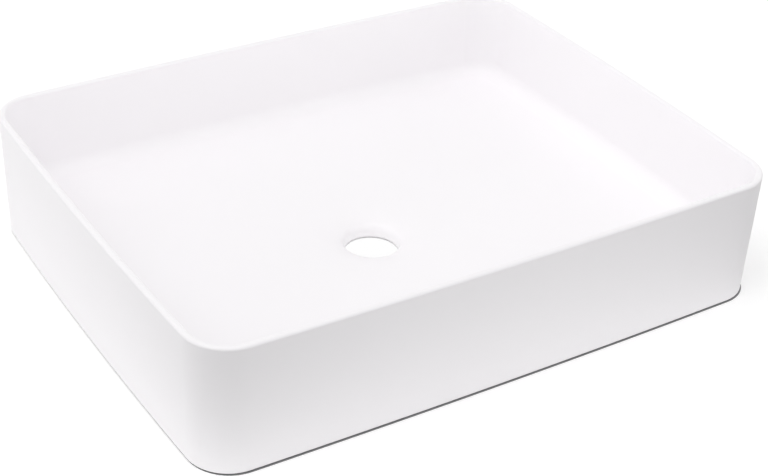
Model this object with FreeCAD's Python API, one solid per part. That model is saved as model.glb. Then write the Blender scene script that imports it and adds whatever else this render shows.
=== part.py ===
import FreeCAD, Part

import math
import os

# Rectangular countertop basin, slip-cast in one piece, standing on four thin non-slip pads.
# Millimetres. The origin is on the counter top, under the middle of the basin.
# +X runs along the long side, +Y to the rear and +Z up, so the front wall faces -Y.

# Overall size
WIDTH = 500.0
DEPTH = 396.0
HEIGHT = 106.5

# Plan outline of the rim: four gently bowed sides with tangent corner arcs
CORNER_RADIUS = 35.0
LONG_SIDE_BOW = 2.4
SHORT_SIDE_BOW = 2.9

# Walls
WALL_TAPER = 1.5             # the outside leans in by this much from the rim down to the foot
RIM_THICKNESS = 7.0
RIM_ROUNDING = 3.0
INNER_WALL_TAPER = 4.5       # the inside leans in by this much from the rim down to the counter
FLOOR_ROUNDING = 17.0        # radius between the inner wall and the floor

# Floor: level along the walls, then a wide funnel with a rounded shoulder, a dish and the drain's lip
FLOOR_HEIGHT = 31.0
FLOOR_THICKNESS = 11.0
FUNNEL_MARGIN = 2.0          # level strip left beside the rounding of the nearest wall
SHOULDER_ARC_RADIUS = 300.0
DRAIN_DIAMETER = 45.0
DRAIN_WALL = 5.2             # straight wall of the drain hole, above the boss's lower face
LIP_ARC_RADIUS = 7.0
DISH_ARC_RADIUS = 55.0
DISH_BREAK_ANGLE = 25.0      # slope, in degrees, at which the dish arc hands over to the lip arc

# Underside: a skirt that ends in a ground foot, and a boss round the drain
FOOT_WIDTH = 16.0
FOOT_BEVEL = 1.5             # broken outer edge of the foot
SKIRT_TAPER = 0.5            # the inside of the skirt leans in by this much
SKIRT_BEVEL = 6.0            # slanted corner between the skirt and the underside of the floor
BOSS_RADIUS = 42.0
BOSS_SLANT = 4.0             # how much wider the boss is at its root
BOSS_LIFT = 0.2              # the boss stays this far above the ground foot

# Non-slip pads, cut from sheet
PAD_DIAMETER = 12.0
PAD_THICKNESS = 1.0

# What follows from these sizes
HALF_WIDTH = WIDTH / 2
HALF_DEPTH = DEPTH / 2
DRAIN_RADIUS = DRAIN_DIAMETER / 2
FOOT_HEIGHT = PAD_THICKNESS
BOSS_HEIGHT = FOOT_HEIGHT + BOSS_LIFT
CEILING_HEIGHT = FLOOR_HEIGHT - FLOOR_THICKNESS
OUTER_LEAN = math.atan(WALL_TAPER / (HEIGHT - FOOT_HEIGHT))
INNER_LEAN = math.atan(INNER_WALL_TAPER / HEIGHT)
RIGHT = math.pi / 2
BREAK_SLOPE = math.radians(DISH_BREAK_ANGLE)
UP = FreeCAD.Vector(0, 0, 1)


def arc_radius(half_chord, bow):
    """Radius of an arc that stands out by bow over a chord."""
    return (half_chord ** 2 + bow ** 2) / (2 * bow)


LONG_SIDE_RADIUS = arc_radius(HALF_WIDTH - CORNER_RADIUS, LONG_SIDE_BOW)
SHORT_SIDE_RADIUS = arc_radius(HALF_DEPTH - CORNER_RADIUS, SHORT_SIDE_BOW)


def corner_centre():
    """Centre of the corner arc that lies inside both side arcs and touches them."""
    long_centre = HALF_DEPTH - LONG_SIDE_RADIUS        # on the Y axis
    short_centre = HALF_WIDTH - SHORT_SIDE_RADIUS      # on the X axis
    from_long = LONG_SIDE_RADIUS - CORNER_RADIUS
    from_short = SHORT_SIDE_RADIUS - CORNER_RADIUS
    apart = math.hypot(short_centre, long_centre)
    along = (apart ** 2 + from_long ** 2 - from_short ** 2) / (2 * apart)
    across = math.sqrt(from_long ** 2 - along ** 2)
    way_x = short_centre / apart
    way_y = -long_centre / apart
    x = along * way_x + across * way_y
    y = long_centre + along * way_y - across * way_x
    return x, y


CORNER_X, CORNER_Y = corner_centre()
LONG_TURN = math.atan2(CORNER_X, CORNER_Y - HALF_DEPTH + LONG_SIDE_RADIUS)
SHORT_TURN = math.atan2(CORNER_Y, CORNER_X - HALF_WIDTH + SHORT_SIDE_RADIUS)


def outline_sectors():
    """Centre, radius and end directions of the rim outline's eight arcs, from the right side round."""
    short_side = (HALF_WIDTH, SHORT_SIDE_RADIUS, SHORT_TURN)
    long_side = (HALF_DEPTH, LONG_SIDE_RADIUS, LONG_TURN)
    sectors = []
    for quarter, (sign_x, sign_y) in enumerate([(1, 1), (-1, 1), (-1, -1), (1, -1)]):
        facing = quarter * math.pi / 2
        half_size, radius, turn = short_side if quarter % 2 == 0 else long_side
        next_turn = LONG_TURN if quarter % 2 == 0 else SHORT_TURN
        set_back = half_size - radius
        centre = FreeCAD.Vector(set_back * math.cos(facing), set_back * math.sin(facing), 0)
        sectors.append((centre, radius, facing - turn, facing + turn))
        corner = FreeCAD.Vector(sign_x * CORNER_X, sign_y * CORNER_Y, 0)
        sectors.append((corner, CORNER_RADIUS, facing + turn, facing + math.pi / 2 - next_turn))
    return sectors


def around(centre, radius, angle, z):
    """Point at a distance and in a direction from an upright axis."""
    return centre + FreeCAD.Vector(radius * math.cos(angle), radius * math.sin(angle), z)


def level_arc(centre, radius, start, end, z):
    places = [around(centre, radius, angle, z) for angle in (start, (start + end) / 2, end)]
    return Part.Arc(*places).toShape()


def outline(inset, z):
    """The rim's plan outline at a height, moved inwards all round by inset."""
    edges = []
    for centre, radius, start, end in outline_sectors():
        edges.append(level_arc(centre, radius - inset, start, end, z))
    return Part.Wire(edges)


def line(start, end):
    return Part.LineSegment(start, end).toShape()


def at(radius, z):
    """Point of a turned profile, at a distance from the drain's axis."""
    return FreeCAD.Vector(radius, 0, z)


def turned(edges):
    """Solid of revolution about the drain's axis, from a closed profile in the XZ plane."""
    return Part.Face(Part.Wire(edges)).revolve(FreeCAD.Vector(0, 0, 0), UP, 360)


def slope_arc(start, radius, from_slope, to_slope):
    """Convex arc that rises outwards from start while its slope lessens, and its far end."""
    def place(slope):
        outwards = radius * (math.sin(from_slope) - math.sin(slope))
        upwards = radius * (math.cos(slope) - math.cos(from_slope))
        return at(start.x + outwards, start.z + upwards)
    end = place(to_slope)
    return Part.Arc(start, place((from_slope + to_slope) / 2), end).toShape(), end


def arc_point(centre, radius, angle):
    """Point of a section, as inset and height. Angle 0 points into the bowl and a right angle up."""
    return centre[0] + radius * math.cos(angle), centre[1] + radius * math.sin(angle)


def wall_section():
    """The wall's closed section: each corner as inset and height, after the middle of a round stretch."""
    rim = min(RIM_ROUNDING, 0.45 * RIM_THICKNESS)                                  # half the rim limits it
    room = CORNER_RADIUS - RIM_THICKNESS - INNER_WALL_TAPER
    rounding = min(FLOOR_ROUNDING, 0.9 * room)                                     # the bowl's corner limits it
    outer = (rim / math.cos(OUTER_LEAN) + rim * math.tan(OUTER_LEAN), HEIGHT - rim)
    inner = (RIM_THICKNESS + rim * math.tan(INNER_LEAN) - rim / math.cos(INNER_LEAN), HEIGHT - rim)
    low = FLOOR_HEIGHT + rounding
    cove = (RIM_THICKNESS + (HEIGHT - low) * math.tan(INNER_LEAN) + rounding / math.cos(INNER_LEAN), low)
    foot_inset = WALL_TAPER + FOOT_WIDTH
    skirt_inset = foot_inset + SKIRT_TAPER
    bevel_top = FOOT_HEIGHT + FOOT_BEVEL
    return [
        (None, (WALL_TAPER + FOOT_BEVEL, FOOT_HEIGHT)),
        (None, ((HEIGHT - bevel_top) * math.tan(OUTER_LEAN), bevel_top)),
        (None, arc_point(outer, rim, math.pi + OUTER_LEAN)),
        (arc_point(outer, rim, (3 * RIGHT + OUTER_LEAN) / 2), (outer[0], HEIGHT)),
        (None, (inner[0], HEIGHT)),
        (arc_point(inner, rim, (RIGHT + INNER_LEAN) / 2), arc_point(inner, rim, INNER_LEAN)),
        (None, arc_point(cove, rounding, math.pi + INNER_LEAN)),
        (arc_point(cove, rounding, (5 * RIGHT + INNER_LEAN) / 2), (cove[0], FLOOR_HEIGHT)),
        (None, (cove[0], CEILING_HEIGHT)),
        (None, (skirt_inset + SKIRT_BEVEL, CEILING_HEIGHT)),
        (None, (skirt_inset, CEILING_HEIGHT - SKIRT_BEVEL)),
        (None, (foot_inset, FOOT_HEIGHT)),
    ]


SECTION = wall_section()
FLOOR_INSET = next(corner[0] for middle, corner in SECTION if corner[1] == FLOOR_HEIGHT)
WALL_TOP = at(DRAIN_RADIUS, BOSS_HEIGHT + DRAIN_WALL)
LIP_ARC, LIP_END = slope_arc(WALL_TOP, LIP_ARC_RADIUS, math.pi / 2, BREAK_SLOPE)
FUNNEL_RADIUS = min(HALF_WIDTH, HALF_DEPTH) - FLOOR_INSET - FUNNEL_MARGIN


def funnel(slope):
    """Dish arc, straight fall and shoulder arc for one slope of the fall, and the height they reach."""
    dish, dish_end = slope_arc(LIP_END, DISH_ARC_RADIUS, BREAK_SLOPE, slope)
    fall_width = FUNNEL_RADIUS - SHOULDER_ARC_RADIUS * math.sin(slope) - dish_end.x
    fall_end = at(dish_end.x + fall_width, dish_end.z + fall_width * math.tan(slope))
    shoulder, shoulder_end = slope_arc(fall_end, SHOULDER_ARC_RADIUS, slope, 0)
    return [dish, line(dish_end, fall_end), shoulder], [dish_end, fall_end, shoulder_end]


def fall_slope():
    """The one slope that brings the funnel up to the level floor, found by halving."""
    low, high = 0, BREAK_SLOPE
    for step in range(60):
        slope = (low + high) / 2
        reached = funnel(slope)[1][-1].z
        low, high = (slope, high) if reached < FLOOR_HEIGHT else (low, slope)
    return slope


FALL_SLOPE = fall_slope()
FUNNEL_EDGES, (DISH_END, FALL_END, FUNNEL_END) = funnel(FALL_SLOPE)


def swept_wall(sector):
    """The wall along one arc of the outline: its section turned about the arc's centre."""
    centre, radius, start, end = sector

    def place(point):
        return around(centre, radius - point[0], start, point[1])

    edges = []
    here = place(SECTION[-1][1])
    for middle, corner in SECTION:
        there = place(corner)
        edges.append(Part.Arc(here, place(middle), there).toShape() if middle else line(here, there))
        here = there
    return Part.Face(Part.Wire(edges)).revolve(centre, UP, math.degrees(end - start))


def floor_plate():
    """The level floor inside the walls."""
    return Part.Face(outline(FLOOR_INSET, CEILING_HEIGHT)).extrude(FLOOR_THICKNESS * UP)


def drain_boss():
    """What hangs below the level floor: the underside of the funnel and the boss round the drain."""
    root = at(BOSS_RADIUS + BOSS_SLANT, DISH_END.z - FLOOR_THICKNESS)
    shoulder = at(root.x + (CEILING_HEIGHT - root.z) / math.tan(FALL_SLOPE), CEILING_HEIGHT)
    points = [at(0, BOSS_HEIGHT), at(BOSS_RADIUS, BOSS_HEIGHT), root, shoulder, at(0, CEILING_HEIGHT)]
    return turned([line(start, end) for start, end in zip(points, points[1:] + points[:1])])


def drain_space():
    """The funnel, the dish, the rounded lip and the hole, cut right through."""
    origin = at(0, 0)
    foot = at(DRAIN_RADIUS, 0)
    middle = at(0, FUNNEL_END.z)
    return turned([line(origin, foot), line(foot, WALL_TOP), LIP_ARC] + FUNNEL_EDGES
                  + [line(FUNNEL_END, middle), line(middle, origin)])


def basin_body():
    """One casting: rim, walls, foot, floor, drain seat and boss."""
    walls = [swept_wall(sector) for sector in outline_sectors()]
    body = walls[0].multiFuse(walls[1:] + [floor_plate(), drain_boss()])
    return body.cut(drain_space()).removeSplitter().Solids[0]


def foot_pad(side_x, side_y):
    """A pad under the middle of the foot, on the diagonal of a corner."""
    diagonal = (CORNER_RADIUS - WALL_TAPER - FOOT_WIDTH / 2) * math.sqrt(0.5)
    centre = FreeCAD.Vector(side_x * (CORNER_X + diagonal), side_y * (CORNER_Y + diagonal), 0)
    return Part.makeCylinder(PAD_DIAMETER / 2, PAD_THICKNESS, centre)


def main():
    nodes = {"basin_body": basin_body()}
    for row, side_y in (("front", -1), ("rear", 1)):
        for hand, side_x in (("left", -1), ("right", 1)):
            nodes["foot_pad_" + row + "_" + hand] = foot_pad(side_x, side_y)
    os.makedirs("parts", exist_ok=True)
    for name, shape in nodes.items():
        print(name, shape.ShapeType, shape.isValid(), round(shape.Volume, 1))
        shape.exportStep("parts/" + name + ".step")
    for name, place in (("dish", DISH_END), ("fall", FALL_END), ("funnel", FUNNEL_END)):
        print(name, "ends at radius", round(place.x, 2), "and height", round(place.z, 2))
    print("floor falls by", round(100 * math.tan(FALL_SLOPE), 1), "per cent")


main()
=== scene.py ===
# %% [markdown]
# # A white countertop basin
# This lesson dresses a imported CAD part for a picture. The CAD model is the fixed frame: it gives
# the basin's place and overall size, and nothing here moves it. The basin is one ceramic casting on
# four thin pads, so the lesson is about one good mesh, one good glaze and a quiet white studio.

# %% Load the frame and keep its box
import math

import bmesh
import bpy
from mathutils import Matrix, Vector


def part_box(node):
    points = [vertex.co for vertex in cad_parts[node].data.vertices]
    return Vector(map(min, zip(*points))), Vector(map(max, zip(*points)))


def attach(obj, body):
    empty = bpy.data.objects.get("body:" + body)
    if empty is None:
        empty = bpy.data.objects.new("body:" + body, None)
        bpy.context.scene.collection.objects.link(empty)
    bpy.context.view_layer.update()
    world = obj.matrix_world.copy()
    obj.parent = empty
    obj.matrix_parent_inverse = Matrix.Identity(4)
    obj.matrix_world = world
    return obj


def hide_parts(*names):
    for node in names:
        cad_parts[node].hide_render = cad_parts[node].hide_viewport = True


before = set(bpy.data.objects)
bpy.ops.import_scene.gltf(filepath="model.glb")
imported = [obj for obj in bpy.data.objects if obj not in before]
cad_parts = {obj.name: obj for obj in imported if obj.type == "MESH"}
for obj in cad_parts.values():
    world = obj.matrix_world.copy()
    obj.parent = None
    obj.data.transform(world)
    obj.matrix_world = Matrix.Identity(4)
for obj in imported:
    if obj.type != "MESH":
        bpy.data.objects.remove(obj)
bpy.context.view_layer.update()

MM = 0.001
body_low, body_high = (Vector(corner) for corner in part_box("basin_body"))

# %% [markdown]
# ## The basin's sizes
# The overall width, depth and height come from the frame, so the mesh follows the CAD part. What
# the box can't tell repeats the CAD sizes in millimetres, but for small matters that only a picture
# shows: the rim is 1.5 mm thinner, the edge of the foot is crisper, and the floor meets the walls
# in a tighter rounding and falls straight to the drain. A casting like this leaves a plaster mould,
# so every edge is rounded and every wall leans a little.

# %% Sizes in metres
HALF_WIDTH = (body_high.x - body_low.x) / 2
HALF_DEPTH = (body_high.y - body_low.y) / 2
RIM_HEIGHT = body_high.z
FOOT_HEIGHT = body_low.z

CORNER_RADIUS = 35 * MM
LONG_SIDE_BOW = 2.4 * MM
SHORT_SIDE_BOW = 2.9 * MM
WALL_TAPER = 1.5 * MM
RIM_THICKNESS = 5.5 * MM
RIM_ROUNDING = 2.2 * MM
INNER_WALL_TAPER = 4.5 * MM
FLOOR_ROUNDING = 13 * MM
FLOOR_HEIGHT = 31 * MM
FLOOR_THICKNESS = 11 * MM
FOOT_WIDTH = 16 * MM
FOOT_ROUNDING = 0.6 * MM
FOOT_CHAMFER = FOOT_ROUNDING / 3
SKIRT_ROUNDING = 6 * MM
DRAIN_RADIUS = 22.5 * MM
DRAIN_WALL = 5.2 * MM
LIP_ARC_RADIUS = 7 * MM
DISH_ARC_RADIUS = 55 * MM
DISH_BREAK = math.radians(25)
FLOOR_SLOPE = 0.08
FLOOR_FALL = math.atan(FLOOR_SLOPE)
BOSS_RADIUS = 42 * MM
BOSS_SLANT = 4 * MM
BOSS_LIFT = 0.2 * MM
BOSS_HEIGHT = FOOT_HEIGHT + BOSS_LIFT
print("basin", round(2 * HALF_WIDTH, 4), round(2 * HALF_DEPTH, 4), round(RIM_HEIGHT, 4))

# %% [markdown]
# ## The outline of the rim
# Seen from above, the basin is a rectangle whose sides bow out by 2 to 3 mm and run into round
# corners with no kink. Bevelling the corners of a box would leave straight sides. Spinning a vertex
# about the centre of each arc gives the true curve: half a long side, a corner and half a short
# side. A mirror in X and in Y then closes the loop.

# %% Centres of the arcs
def arc_radius(half_chord, bow):
    """Radius of an arc that stands out by bow over a chord."""
    return (half_chord ** 2 + bow ** 2) / (2 * bow)


long_radius = arc_radius(HALF_WIDTH - CORNER_RADIUS, LONG_SIDE_BOW)
short_radius = arc_radius(HALF_DEPTH - CORNER_RADIUS, SHORT_SIDE_BOW)
long_centre = Vector((0, HALF_DEPTH - long_radius, 0))
short_centre = Vector((HALF_WIDTH - short_radius, 0, 0))


def corner_centre():
    """Centre of the corner arc that touches both side arcs from inside: two circles cross there."""
    long_reach = long_radius - CORNER_RADIUS
    short_reach = short_radius - CORNER_RADIUS
    apart = (short_centre - long_centre).length
    along = (long_reach ** 2 - short_reach ** 2 + apart ** 2) / (2 * apart)
    across = math.sqrt(long_reach ** 2 - along ** 2)
    toward = (short_centre - long_centre) / apart
    return long_centre + toward * along + Vector((toward.y, -toward.x, 0)) * across


corner = corner_centre()
long_turn = math.atan2(corner.x, corner.y - long_centre.y)
short_turn = math.atan2(corner.y, corner.x - short_centre.x)
corner_turn = math.pi / 2 - long_turn - short_turn
print("corner arc centre", tuple(round(v, 4) for v in corner))

# %% Spin a quarter of the outline and mirror it
LONG_STEPS, CORNER_STEPS, SHORT_STEPS = 22, 26, 18
UP = Vector((0, 0, 1))
WELD = 0.01 * MM


def spun_quarter(mesh):
    """A vertex at the middle of the rear side, spun clockwise through the three arcs."""
    tip = mesh.verts.new((0, HALF_DEPTH, 0))
    arcs = ((long_centre, long_turn, LONG_STEPS), (corner, corner_turn, CORNER_STEPS),
            (short_centre, short_turn, SHORT_STEPS))
    for centre, turn, steps in arcs:
        made = bmesh.ops.spin(mesh, geom=[tip], cent=centre, axis=UP, angle=-turn, steps=steps)
        tip = next(item for item in made["geom_last"] if isinstance(item, bmesh.types.BMVert))


def ordered_loop(mesh):
    """The vertices of the one closed loop in order, from the middle of the rear clockwise."""
    start = max(mesh.verts, key=lambda vert: (round(vert.co.y, 6), -abs(vert.co.x)))
    step = max((edge.other_vert(start) for edge in start.link_edges), key=lambda vert: vert.co.x)
    loop = [start]
    while step is not start:
        before = loop[-1]
        loop.append(step)
        neighbours = [edge.other_vert(step) for edge in step.link_edges]
        step = next(vert for vert in neighbours if vert is not before)
    return loop


basin = bmesh.new()
spun_quarter(basin)
for axis in "XY":
    bmesh.ops.mirror(basin, geom=list(basin.verts) + list(basin.edges), axis=axis, merge_dist=WELD)
bmesh.ops.remove_doubles(basin, verts=list(basin.verts), dist=WELD)
first_loop = ordered_loop(basin)
outline = [vert.co.copy() for vert in first_loop]
outward = []
for index in range(len(outline)):
    tangent = outline[(index + 1) % len(outline)] - outline[index - 1]
    outward.append(Vector((-tangent.y, tangent.x, 0)).normalized())
print("outline of", len(outline), "vertices")

# %% [markdown]
# ## The section
# Every upright cut through the wall shows the same line: over the thin rim, down the inside, round
# into the floor, along the floor to the drain, down through the hole, back under the floor, round
# the foot and up the outside. So the basin is a list of rings. A ring is the outline moved inwards,
# or a circle round the drain, at its own height, and round stretches are arcs of rings.

# %% Rings along the walls
QUARTER = math.pi / 2


def wall_ring(inset, height):
    """The outline moved inwards."""
    return [Vector((place.x - inset * out.x, place.y - inset * out.y, height))
            for place, out in zip(outline, outward)]


def shares(steps):
    """Even shares of the way from one ring to the next, without the start."""
    return [step / steps for step in range(1, steps + 1)]


def arc_point(centre, radius, angle):
    """Point of the section, as (inset, height). Angle 0 points into the bowl, a right angle up."""
    return centre[0] + radius * math.cos(angle), centre[1] + radius * math.sin(angle)


def wall_arc(centre, radius, start, end, steps):
    """Rings round an arc of the section."""
    angles = [start + (end - start) * share for share in shares(steps)]
    return [wall_ring(*arc_point(centre, radius, angle)) for angle in angles]


def wall_run(start, end, steps):
    """Rings along a straight stretch of the section."""
    across = end[0] - start[0]
    up = end[1] - start[1]
    return [wall_ring(start[0] + across * share, start[1] + up * share) for share in shares(steps)]


print("a ring has", len(wall_ring(0, RIM_HEIGHT)), "places")

# %% Rim, inner wall and its rounding into the floor
RIM_STEPS, WALL_STEPS, COVE_STEPS = 14, 18, 26
outer_lean = math.atan(WALL_TAPER / (RIM_HEIGHT - FOOT_HEIGHT))
inner_lean = math.atan(INNER_WALL_TAPER / RIM_HEIGHT)
rim_low = RIM_HEIGHT - RIM_ROUNDING
outer_rim = (RIM_ROUNDING / math.cos(outer_lean) + RIM_ROUNDING * math.tan(outer_lean), rim_low)
inner_rim = (RIM_THICKNESS + RIM_ROUNDING * math.tan(inner_lean)
             - RIM_ROUNDING / math.cos(inner_lean), rim_low)
cove_height = FLOOR_HEIGHT + FLOOR_ROUNDING
cove = (RIM_THICKNESS + (RIM_HEIGHT - cove_height) * math.tan(inner_lean)
        + FLOOR_ROUNDING / math.cos(inner_lean), cove_height)

outside_top = arc_point(outer_rim, RIM_ROUNDING, math.pi + outer_lean)
rim_rings = [wall_ring(*outside_top)]
rim_rings += wall_arc(outer_rim, RIM_ROUNDING, math.pi + outer_lean, QUARTER, RIM_STEPS)
rim_rings += wall_arc(inner_rim, RIM_ROUNDING, QUARTER, inner_lean, RIM_STEPS)
inside_rings = wall_run(arc_point(inner_rim, RIM_ROUNDING, inner_lean),
                        arc_point(cove, FLOOR_ROUNDING, math.pi + inner_lean), WALL_STEPS)
inside_rings += wall_arc(cove, FLOOR_ROUNDING, math.pi + inner_lean,
                         3 * QUARTER - FLOOR_FALL, COVE_STEPS)
print("rim", len(rim_rings), "rings, inside", len(inside_rings), "rings")

# %% [markdown]
# ## Floor and drain
# The floor falls from the walls to a shallow dish, where a waste seats, and a soft lip turns down
# into the 45 mm hole. Each floor ring lies between the last ring of the wall and the rim of the
# dish, on the straight line to the drain, so the mesh flows towards the hole as the water does.

# %% Circles round the drain
LIP_STEPS, DISH_STEPS, FLOOR_STEPS, HOLE_STEPS = 14, 14, 30, 4
floor_edge = inside_rings[-1]
bearing = [math.atan2(place.y, place.x) for place in floor_edge]


def drain_ring(radius, height):
    """A circle round the drain, with one vertex for each vertex of the outline."""
    return [Vector((radius * math.cos(angle), radius * math.sin(angle), height))
            for angle in bearing]


def falling_arc(start, radius, from_slope, to_slope, steps):
    """Rings of a convex arc that rises outwards from start while its slope lessens, and its end."""
    def place(slope):
        return (start[0] + radius * (math.sin(from_slope) - math.sin(slope)),
                start[1] + radius * (math.cos(slope) - math.cos(from_slope)))
    slopes = [from_slope + (to_slope - from_slope) * share for share in shares(steps)]
    return [drain_ring(*place(slope)) for slope in slopes], place(to_slope)


def between(outer, inner, steps):
    """Rings on straight lines from one ring to another, without the first."""
    return [[start.lerp(end, share) for start, end in zip(outer, inner)] for share in shares(steps)]


hole_top = (DRAIN_RADIUS, BOSS_HEIGHT + DRAIN_WALL)
lip_rings, lip_end = falling_arc(hole_top, LIP_ARC_RADIUS, QUARTER, DISH_BREAK, LIP_STEPS)
dish_rings, dish_end = falling_arc(lip_end, DISH_ARC_RADIUS, DISH_BREAK, FLOOR_FALL, DISH_STEPS)
upward = [drain_ring(*hole_top)] + lip_rings + dish_rings
floor_rings = between(floor_edge, upward[-1], FLOOR_STEPS)
drain_rings = upward[-2::-1]
drain_rings += between(drain_rings[-1], drain_ring(DRAIN_RADIUS, BOSS_HEIGHT), HOLE_STEPS)
print("dish edge at radius", round(dish_end[0], 4), "height", round(dish_end[1], 4))

# %% [markdown]
# ## Underside and foot
# Nobody looks there in a bathroom, but a library part is turned over. The floor has an even
# thickness, a boss round the hole takes the nut of a waste, and a skirt carries the basin on a foot
# that was ground flat after firing, so it has no glaze.

# %% Rings under the floor, round the foot and up the outside
BOSS_STEPS, SLANT_STEPS, CEILING_STEPS, SKIRT_ARC_STEPS, SKIRT_STEPS = 6, 3, 16, 10, 5
CHAMFER_STEPS, FOOT_STEPS, FOOT_ARC_STEPS, OUTSIDE_STEPS = 2, 6, 10, 20
ceiling_height = FLOOR_HEIGHT - FLOOR_THICKNESS
boss_root = (BOSS_RADIUS + BOSS_SLANT, dish_end[1] - FLOOR_THICKNESS)
foot_inset = WALL_TAPER + FOOT_WIDTH
skirt_cove = (foot_inset + SKIRT_ROUNDING, ceiling_height - SKIRT_ROUNDING)
foot_centre = (WALL_TAPER + FOOT_ROUNDING, FOOT_HEIGHT + FOOT_ROUNDING)
outside_foot = arc_point(foot_centre, FOOT_ROUNDING, math.pi + outer_lean)
skirt_foot = (foot_inset, FOOT_HEIGHT + FOOT_CHAMFER)
foot_inside = (foot_inset - FOOT_CHAMFER, FOOT_HEIGHT)

under_rings = between(drain_rings[-1], drain_ring(BOSS_RADIUS, BOSS_HEIGHT), BOSS_STEPS)
under_rings += between(under_rings[-1], drain_ring(*boss_root), SLANT_STEPS)
under_rings += between(under_rings[-1], wall_ring(skirt_cove[0], ceiling_height), CEILING_STEPS)
under_rings += wall_arc(skirt_cove, SKIRT_ROUNDING, QUARTER, math.pi, SKIRT_ARC_STEPS)
under_rings += wall_run((foot_inset, skirt_cove[1]), skirt_foot, SKIRT_STEPS)
foot_rings = wall_run(skirt_foot, foot_inside, CHAMFER_STEPS)
foot_rings += wall_run(foot_inside, (foot_centre[0], FOOT_HEIGHT), FOOT_STEPS)
outside_rings = wall_arc(foot_centre, FOOT_ROUNDING, 3 * QUARTER, math.pi + outer_lean,
                         FOOT_ARC_STEPS)
outside_rings += wall_run(outside_foot, outside_top, OUTSIDE_STEPS)
print("under", len(under_rings), "foot", len(foot_rings), "outside", len(outside_rings), "rings")

# %% [markdown]
# ## Extrude the rings
# One loop of edges is extruded from ring to ring, as a potter's template would run round the mould.
# The last ring is welded to the first, so the mesh is closed: a ring with a hole, like any basin.
# The faces of the foot get the second material, bare clay. A Weighted Normal modifier lets the wide
# faces decide the shading where they meet a small rounding.

# %% Make the basin's mesh
GLAZED, GROUND = 0, 1


def extrude_to(mesh, loop, ring, material):
    """Extrudes a closed loop of vertices and moves the new one to a ring. Returns the new loop."""
    edges = [mesh.edges.get((loop[index - 1], loop[index])) for index in range(len(loop))]
    made = bmesh.ops.extrude_edge_only(mesh, edges=edges)["geom"]
    fresh = {item for item in made if isinstance(item, bmesh.types.BMVert)}
    new_loop = []
    for vert, place in zip(loop, ring):
        neighbours = [edge.other_vert(vert) for edge in vert.link_edges]
        new_vert = next(other for other in neighbours if other in fresh)
        new_vert.co = place
        new_loop.append(new_vert)
    for item in made:
        if isinstance(item, bmesh.types.BMFace):
            item.material_index = material
            item.smooth = True
    return new_loop


for vert, place in zip(first_loop, rim_rings[0]):
    vert.co = place
loop = first_loop
zones = ((rim_rings[1:] + inside_rings + floor_rings + drain_rings + under_rings, GLAZED),
         (foot_rings, GROUND), (outside_rings, GLAZED))
for rings, material in zones:
    for ring in rings:
        loop = extrude_to(basin, loop, ring, material)
bmesh.ops.weld_verts(basin, targetmap=dict(zip(loop, first_loop)))
bmesh.ops.recalc_face_normals(basin, faces=list(basin.faces))
basin_mesh = bpy.data.meshes.new("basin")
basin.to_mesh(basin_mesh)
basin.free()
basin_piece = bpy.data.objects.new("ceramic_basin", basin_mesh)
bpy.context.scene.collection.objects.link(basin_piece)
shading = basin_piece.modifiers.new("even shading", "WEIGHTED_NORMAL")
shading.weight = 50
print("basin mesh:", len(basin_mesh.polygons), "faces")

# %% Tie the basin to the frame
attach(basin_piece, "root")
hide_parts("basin_body")
print(basin_piece.name, "stands for the CAD casting")

# %% [markdown]
# ## Colours and nodes
# Colours are written as they look on a screen, in sRGB, and turned to linear light in one place.
# One small function adds a node with its settings and links, so a material reads as a list of what
# feeds what.

# %% Helpers for materials
def linear(hex_colour):
    """sRGB hex, such as F4F3F4, to linear RGBA."""
    channels = [int(hex_colour[index:index + 2], 16) / 255 for index in (0, 2, 4)]
    light = [c / 12.92 if c <= 0.04045 else ((c + 0.055) / 1.055) ** 2.4 for c in channels]
    return tuple(light) + (1.0,)


def new_material(name):
    """A material with an empty node tree and its output node."""
    material = bpy.data.materials.new(name)
    material.use_nodes = True
    material.node_tree.nodes.clear()
    return material, material.node_tree.nodes.new("ShaderNodeOutputMaterial")


def add(tree, kind, settings=None, **sockets):
    """Adds a node. A socket's value is a constant or another node's output."""
    node = tree.nodes.new("ShaderNode" + kind)
    for name, value in (settings or {}).items():
        setattr(node, name, value)
    for name, value in sockets.items():
        socket = node.inputs[int(name[1:]) if name[0] == "_" else name.replace("_", " ")]
        if isinstance(value, bpy.types.NodeSocket):
            tree.links.new(value, socket)
        else:
            socket.default_value = value
    return node


def waves(size_mm):
    """Noise scale for bumps of that size, on Object coordinates in metres."""
    return 1 / (size_mm * MM)


print("mid grey is", round(linear("808080")[0], 3), "in linear light")

# %% [markdown]
# ## Satin white glaze
# The glaze is sprayed on, melts in the kiln and cools to a soft white skin with a low sheen. Four
# things keep it from looking like plastic: the casting underneath is never quite flat, the sprayed
# skin has a faint orange peel, the sheen changes a little from place to place, and the melt runs
# thin over the rim, where the clay greys it a little. That greyer band on the top 3 mm is also
# painted shade: it darkens the up-facing rim, which the light would otherwise leave too bright. The
# peel is drawn 4 mm wide, coarser than a real one, so that it can show.

# %% Glaze
WARP_SIZE, PEEL_SIZE, CLOUD_SIZE = 90, 4, 140
WARP_DEPTH = 0.25 * MM
PEEL_DEPTH = 0.008 * MM
THIN_GLAZE_AND_SHADE = 3 * MM
CERAMIC_IOR = 1.5


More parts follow.
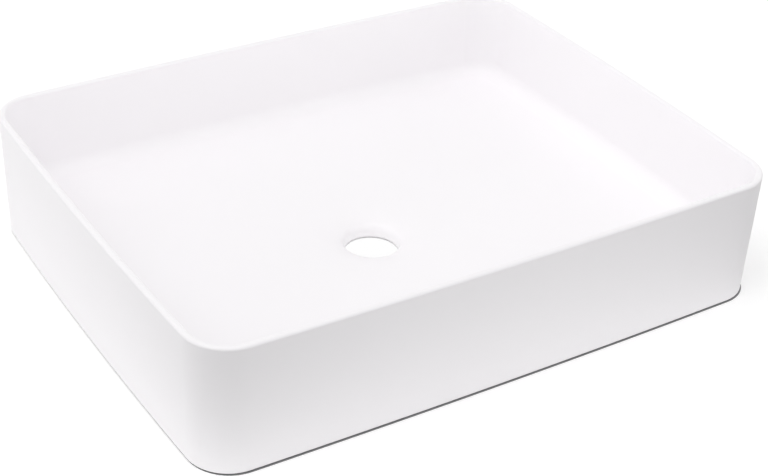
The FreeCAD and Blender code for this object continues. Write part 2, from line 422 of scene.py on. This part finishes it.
def satin_glaze():
    material, output = new_material("satin_white_glaze")
    tree = material.node_tree
    place = add(tree, "TexCoord").outputs["Object"]
    warp = add(tree, "TexNoise", Vector=place, Scale=waves(WARP_SIZE), Detail=1.0).outputs["Fac"]
    peel = add(tree, "TexNoise", Vector=place, Scale=waves(PEEL_SIZE), Detail=2.0).outputs["Fac"]
    cloud = add(tree, "TexNoise", Vector=place, Scale=waves(CLOUD_SIZE), Detail=3.0).outputs["Fac"]
    tone = add(tree, "Mix", {"data_type": "RGBA"}, _0=cloud, _6=linear("F7F5F7"),
               _7=linear("FAF8FA"))
    height = add(tree, "SeparateXYZ", Vector=place).outputs["Z"]
    # Greyer top of the rim: glaze run thin, and painted shade on the up-facing rim.
    rim_glaze_and_shade = add(tree, "MapRange", Value=height, From_Min=RIM_HEIGHT - THIN_GLAZE_AND_SHADE,
               From_Max=RIM_HEIGHT)
    skin = add(tree, "Mix", {"data_type": "RGBA"}, _0=rim_glaze_and_shade.outputs["Result"], _6=tone.outputs[2],
               _7=linear("F4F2F4"))
    sheen = add(tree, "MapRange", Value=cloud, From_Min=0.3, From_Max=0.7, To_Min=0.40, To_Max=0.48)
    slow = add(tree, "Bump", Height=warp, Strength=1.0, Distance=WARP_DEPTH)
    fine = add(tree, "Bump", Height=peel, Strength=1.0, Distance=PEEL_DEPTH,
               Normal=slow.outputs["Normal"])
    glaze = add(tree, "BsdfPrincipled", Base_Color=skin.outputs[2],
                Roughness=sheen.outputs["Result"], Normal=fine.outputs["Normal"], IOR=CERAMIC_IOR)
    tree.links.new(glaze.outputs["BSDF"], output.inputs["Surface"])
    return material


basin_mesh.materials.append(satin_glaze())
print("glaze:", basin_mesh.materials[GLAZED].name)

# %% [markdown]
# ## Ground foot
# Where the foot was ground flat after firing, the bare vitreous clay shows: a warmer, dull
# white with a fine grain and a few dark specks.

# %% Bare clay
CLAY_GRAIN, CLAY_SPECKS = 1.2, 5
CLAY_DEPTH = 0.05 * MM


def ground_clay():
    material, output = new_material("ground_vitreous_clay")
    tree = material.node_tree
    place = add(tree, "TexCoord").outputs["Object"]
    grain = add(tree, "TexNoise", Vector=place, Scale=waves(CLAY_GRAIN), Detail=4.0).outputs["Fac"]
    specks = add(tree, "TexVoronoi", Vector=place, Scale=waves(CLAY_SPECKS)).outputs["Distance"]
    dark = add(tree, "MapRange", Value=specks, From_Min=0.06, From_Max=0.12, To_Min=1.0, To_Max=0.0)
    clay = add(tree, "Mix", {"data_type": "RGBA"}, _0=grain, _6=linear("D9D2C6"),
               _7=linear("E9E4DA"))
    tone = add(tree, "Mix", {"data_type": "RGBA"}, _0=dark.outputs["Result"], _6=clay.outputs[2],
               _7=linear("A89C8C"))
    rough = add(tree, "MapRange", Value=grain, To_Min=0.75, To_Max=0.95)
    bump = add(tree, "Bump", Height=grain, Strength=1.0, Distance=CLAY_DEPTH)
    body = add(tree, "BsdfPrincipled", Base_Color=tone.outputs[2],
               Roughness=rough.outputs["Result"], Normal=bump.outputs["Normal"], IOR=CERAMIC_IOR)
    tree.links.new(body.outputs["BSDF"], output.inputs["Surface"])
    return material


basin_mesh.materials.append(ground_clay())
print("basin materials:", [material.name for material in basin_mesh.materials])

# %% [markdown]
# ## Non-slip pads
# Four thin rubber discs are stuck under the corners of the foot, so the basin doesn't rock or slide
# while it is sealed down. Each is a circle extruded down, with its lower edge bevelled round, in
# place of the plain CAD disc.

# %% Rubber
RUBBER_GRAIN = 0.8
RUBBER_DEPTH = 0.03 * MM
RUBBER_IOR = 1.5


def pad_rubber():
    material, output = new_material("moulded_rubber")
    tree = material.node_tree
    place = add(tree, "TexCoord").outputs["Object"]
    noise = add(tree, "TexNoise", Vector=place, Scale=waves(RUBBER_GRAIN), Detail=3.0)
    grain = noise.outputs["Fac"]
    tone = add(tree, "Mix", {"data_type": "RGBA"}, _0=grain, _6=linear("39393B"),
               _7=linear("4A4A4C"))
    rough = add(tree, "MapRange", Value=grain, To_Min=0.65, To_Max=0.85)
    bump = add(tree, "Bump", Height=grain, Strength=1.0, Distance=RUBBER_DEPTH)
    skin = add(tree, "BsdfPrincipled", Base_Color=tone.outputs[2],
               Roughness=rough.outputs["Result"], Normal=bump.outputs["Normal"], IOR=RUBBER_IOR)
    tree.links.new(skin.outputs["BSDF"], output.inputs["Surface"])
    return material


rubber = pad_rubber()
print("rubber:", rubber.name)

# %% Make the four pads
PAD_ROUNDING = 0.3 * MM
PAD_SIDES, PAD_EDGE_STEPS = 48, 4


def rubber_pad(node):
    """A disc of the node's size with a rounded lower edge."""
    low, high = (Vector(corner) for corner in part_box(node))
    radius = (high.x - low.x) / 2
    middle = (low + high) / 2
    pad = bmesh.new()
    bmesh.ops.create_circle(pad, cap_ends=True, segments=PAD_SIDES, radius=radius)
    bmesh.ops.translate(pad, verts=list(pad.verts), vec=(middle.x, middle.y, high.z))
    made = bmesh.ops.extrude_face_region(pad, geom=list(pad.faces))["geom"]
    lower = [item for item in made if isinstance(item, bmesh.types.BMVert)]
    bmesh.ops.translate(pad, verts=lower, vec=(0, 0, low.z - high.z))
    face = next(item for item in made if isinstance(item, bmesh.types.BMFace))
    bmesh.ops.bevel(pad, geom=list(face.edges), offset=PAD_ROUNDING, offset_type="OFFSET",
                    affect="EDGES", segments=PAD_EDGE_STEPS, profile=0.5, material=-1)
    bmesh.ops.recalc_face_normals(pad, faces=list(pad.faces))
    mesh = bpy.data.meshes.new(node)
    pad.to_mesh(mesh)
    pad.free()
    mesh.materials.append(rubber)
    piece = bpy.data.objects.new(node.replace("foot_pad", "rubber_pad"), mesh)
    bpy.context.scene.collection.objects.link(piece)
    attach(piece, "root")
    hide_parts(node)
    return piece


pads = [rubber_pad(node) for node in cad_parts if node.startswith("foot_pad")]
print("pads:", [pad.name for pad in pads])

# %% [markdown]
# ## White floor
# The floor is a wide sheet of paper. To the camera, and in any gloss, it is paper white, and it
# still darkens where the basin keeps the light away, so the basin stands on it. The light that it
# throws back at the basin is its own matter: the pale sheet is square to the camera and ends in
# front of the basin and on its right, and the dim room beyond gives the front wall its slow fall
# from a lighter foot to a greyer rim. Under the foot the sheet is a dark card of painted shadow, a
# millimetre too far to the front right, which paints the thin contact shadow that white paper would
# fill with light. Only a dark colour there can do that: a shadow on white paper stays pale. A round
# spot below the drain glows, so the open hole shows white.

# %% White paper
WHITE = (1, 1, 1, 1)
PAPER_LIFT = 0.06
SHEET_FADE = 40 * MM
SHEET_EDGES = (((-0.545, -0.839, 0), 350 * MM), ((0.839, -0.545, 0), 300 * MM))


def looked_at(tree):
    """1 for rays from the camera, off a gloss or through glass, and 0 for light on its way."""
    path = add(tree, "LightPath").outputs
    gloss = add(tree, "Math", {"operation": "MAXIMUM"}, _0=path["Is Camera Ray"],
                _1=path["Is Glossy Ray"])
    glass = add(tree, "Math", {"operation": "MAXIMUM"}, _0=gloss.outputs["Value"],
                _1=path["Is Transmission Ray"])
    return glass.outputs["Value"]


def white_floor():
    material, output = new_material("white_paper_floor")
    tree = material.node_tree
    place = add(tree, "TexCoord").outputs["Object"]
    past = []
    for toward, edge in SHEET_EDGES:
        along = add(tree, "VectorMath", {"operation": "DOT_PRODUCT"}, _0=place, _1=toward)
        past.append(add(tree, "Math", {"operation": "SUBTRACT"}, _0=along.outputs["Value"],
                        _1=edge).outputs["Value"])
    furthest = add(tree, "Math", {"operation": "MAXIMUM"}, _0=past[0], _1=past[1]).outputs["Value"]
    beyond = add(tree, "MapRange", Value=furthest, From_Min=0.0, From_Max=SHEET_FADE)
    bounce = add(tree, "Mix", {"data_type": "RGBA"}, _0=beyond.outputs["Result"],
                 _6=linear("E4E4E4"), _7=linear("505050"))
    plain = add(tree, "BsdfDiffuse", Color=bounce.outputs[2]).outputs["BSDF"]
    lift = add(tree, "Emission", Color=WHITE, Strength=PAPER_LIFT).outputs["Emission"]
    white = add(tree, "BsdfDiffuse", Color=WHITE).outputs["BSDF"]
    paper = add(tree, "AddShader", _0=white, _1=lift).outputs["Shader"]
    glow = add(tree, "Emission", Color=WHITE, Strength=1.0).outputs["Emission"]
    reach = add(tree, "VectorMath", {"operation": "LENGTH"}, _0=place).outputs["Value"]
    near = add(tree, "Math", {"operation": "LESS_THAN"}, _0=reach, _1=DRAIN_RADIUS).outputs["Value"]
    sheet = add(tree, "MixShader", _0=looked_at(tree), _1=plain, _2=paper).outputs["Shader"]
    lit = add(tree, "MixShader", _0=near, _1=sheet, _2=glow).outputs["Shader"]
    tree.links.new(lit, output.inputs["Surface"])
    return material


paper = white_floor()
print("floor material:", paper.name)

# %% Painted contact shadow card
SHADOW_CARD_FIBRE = 2


# Painted contact shadow: a grey sheet under the foot stands in for the shade in the gap, with a
# faint fibre noise on it.
def painted_shadow_card():
    material, output = new_material("painted_contact_shadow")
    tree = material.node_tree
    place = add(tree, "TexCoord").outputs["Object"]
    fibre = add(tree, "TexNoise", Vector=place, Scale=waves(SHADOW_CARD_FIBRE), Detail=3.0).outputs["Fac"]
    tone = add(tree, "Mix", {"data_type": "RGBA"}, _0=fibre, _6=linear("8A8A8C"),
               _7=linear("969698"))
    dull = add(tree, "BsdfDiffuse", Color=tone.outputs[2]).outputs["BSDF"]
    tree.links.new(dull, output.inputs["Surface"])
    return material


shadow_card = painted_shadow_card()
print("card material:", shadow_card.name)

# %% Lay the floor
FLOOR_SPREAD = 24
# The painted contact shadow is shifted so that it peeks out at the front right of the foot.
SHADOW_CARD_SHIFT = Vector((0.6, -0.9, 0)) * MM
SHADOW_CARD_HOLE = 30 * MM
PAPER, SHADOW_CARD = 0, 1
floor_sheet = bmesh.new()
foot_line = [floor_sheet.verts.new(place + SHADOW_CARD_SHIFT) for place in wall_ring(WALL_TAPER, 0)]
for index in range(len(foot_line)):
    floor_sheet.edges.new((foot_line[index - 1], foot_line[index]))
extrude_to(floor_sheet, foot_line, [place * FLOOR_SPREAD for place in outline], PAPER)
# The ring under the foot gets the painted contact shadow.
hole_line = extrude_to(floor_sheet, foot_line, drain_ring(SHADOW_CARD_HOLE, 0), SHADOW_CARD)
floor_sheet.faces.new(hole_line)
bmesh.ops.recalc_face_normals(floor_sheet, faces=list(floor_sheet.faces))
floor_mesh = bpy.data.meshes.new("floor")
floor_sheet.to_mesh(floor_mesh)
floor_sheet.free()
floor_mesh.materials.append(paper)
floor_mesh.materials.append(shadow_card)
floor = bpy.data.objects.new("floor", floor_mesh)
bpy.context.scene.collection.objects.link(floor)
print("floor:", len(floor_mesh.polygons), "faces")

# %% [markdown]
# ## Light
# The room itself is the lamp. It is even all round and brightens from the ceiling to the horizon,
# like a room with windows. One soft box hangs high on the left, and a patch of the room below it is
# dim. Area lamps could do the same, but a world shader does it in a few nodes and throws no hard
# edge: each glow is the share of a direction that points at it, raised to a power. The numbers were
# fitted to the tones of the photograph.

# %% World
EVEN_ROOM = 0.15
HORIZON_GLOW = 1.06
HORIZON_POWER = 0.5
SOFT_BOX_GLOW = 2.2
# Azimuth and elevation in degrees, then the power.
SOFT_BOX = (207.4, 58.7, 6)
DIM_PATCH = (215, 31.6, 12.7)


def sky_way(azimuth, elevation):
    """Direction from the basin: azimuth from the right-hand side anticlockwise, in degrees."""
    flat = math.cos(math.radians(elevation))
    return (flat * math.cos(math.radians(azimuth)), flat * math.sin(math.radians(azimuth)),
            math.sin(math.radians(elevation)))


def pale_room():
    world = bpy.data.worlds.new("pale room")
    world.use_nodes = True
    tree = world.node_tree
    tree.nodes.clear()
    output = tree.nodes.new("ShaderNodeOutputWorld")
    way = add(tree, "TexCoord").outputs["Generated"]
    spots = []
    for azimuth, elevation, power in (SOFT_BOX, DIM_PATCH):
        share = add(tree, "VectorMath", {"operation": "DOT_PRODUCT"}, _0=way,
                    _1=sky_way(azimuth, elevation))
        ahead = add(tree, "Math", {"operation": "MAXIMUM"}, _0=share.outputs["Value"], _1=0.0)
        spot = add(tree, "Math", {"operation": "POWER"}, _0=ahead.outputs["Value"], _1=power)
        spots.append(spot.outputs["Value"])
    soft_box, dim_patch = spots
    rise = add(tree, "SeparateXYZ", Vector=way).outputs["Z"]
    level = add(tree, "Math", {"operation": "SUBTRACT"}, _0=1.0, _1=rise).outputs["Value"]
    horizon = add(tree, "Math", {"operation": "POWER"}, _0=level, _1=HORIZON_POWER).outputs["Value"]
    room = add(tree, "Math", {"operation": "MULTIPLY_ADD"}, _0=horizon, _1=HORIZON_GLOW,
               _2=EVEN_ROOM)
    lit = add(tree, "Math", {"operation": "MULTIPLY_ADD"}, _0=soft_box, _1=SOFT_BOX_GLOW,
              _2=room.outputs["Value"])
    clear = add(tree, "Math", {"operation": "SUBTRACT"}, _0=1.0, _1=dim_patch)
    strength = add(tree, "Math", {"operation": "MULTIPLY"}, _0=lit.outputs["Value"],
                   _1=clear.outputs["Value"])
    soft = add(tree, "Background", Color=WHITE,
               Strength=strength.outputs["Value"]).outputs["Background"]
    tree.links.new(soft, output.inputs["Surface"])
    bpy.context.scene.world = world
    return world


print("world:", pale_room().name)

# %% [markdown]
# ## Camera
# The view is the photograph's: from the front left and above, through a long lens. Its place
# was fitted to the rim, the base line and the drain of a basin of this size.

# %% Camera
FRAME_WIDTH = 768
SENSOR_WIDTH = 36
FOCAL_PIXELS = 1644.09
AZIMUTH = math.radians(-33.08)
ELEVATION = math.radians(32.45)
ROLL = math.radians(2.76)
DISTANCE = 1266.19 * MM
AIM = Vector((-25.39, -56.87, 54)) * MM


def photo_camera():
    lens = bpy.data.cameras.new("photo view")
    lens.sensor_fit = "HORIZONTAL"
    lens.sensor_width = SENSOR_WIDTH
    lens.lens = FOCAL_PIXELS / FRAME_WIDTH * SENSOR_WIDTH
    back = Vector((math.sin(AZIMUTH) * math.cos(ELEVATION),
                   -math.cos(AZIMUTH) * math.cos(ELEVATION), math.sin(ELEVATION)))
    right = Vector((math.cos(AZIMUTH), math.sin(AZIMUTH), 0))
    upright = Matrix((right, back.cross(right), back)).transposed()
    turn = upright @ Matrix.Rotation(ROLL, 3, "Z")
    camera = bpy.data.objects.new("photo view", lens)
    camera.matrix_world = Matrix.Translation(AIM + back * DISTANCE) @ turn.to_4x4()
    bpy.context.scene.collection.objects.link(camera)
    bpy.context.scene.camera = camera
    return camera


camera = photo_camera()
bpy.context.scene.view_settings.view_transform = "Standard"
print("camera at", tuple(round(v, 3) for v in camera.location))
print("lens", round(camera.data.lens, 1), "mm")

# %% Finish
bpy.context.view_layer.update()
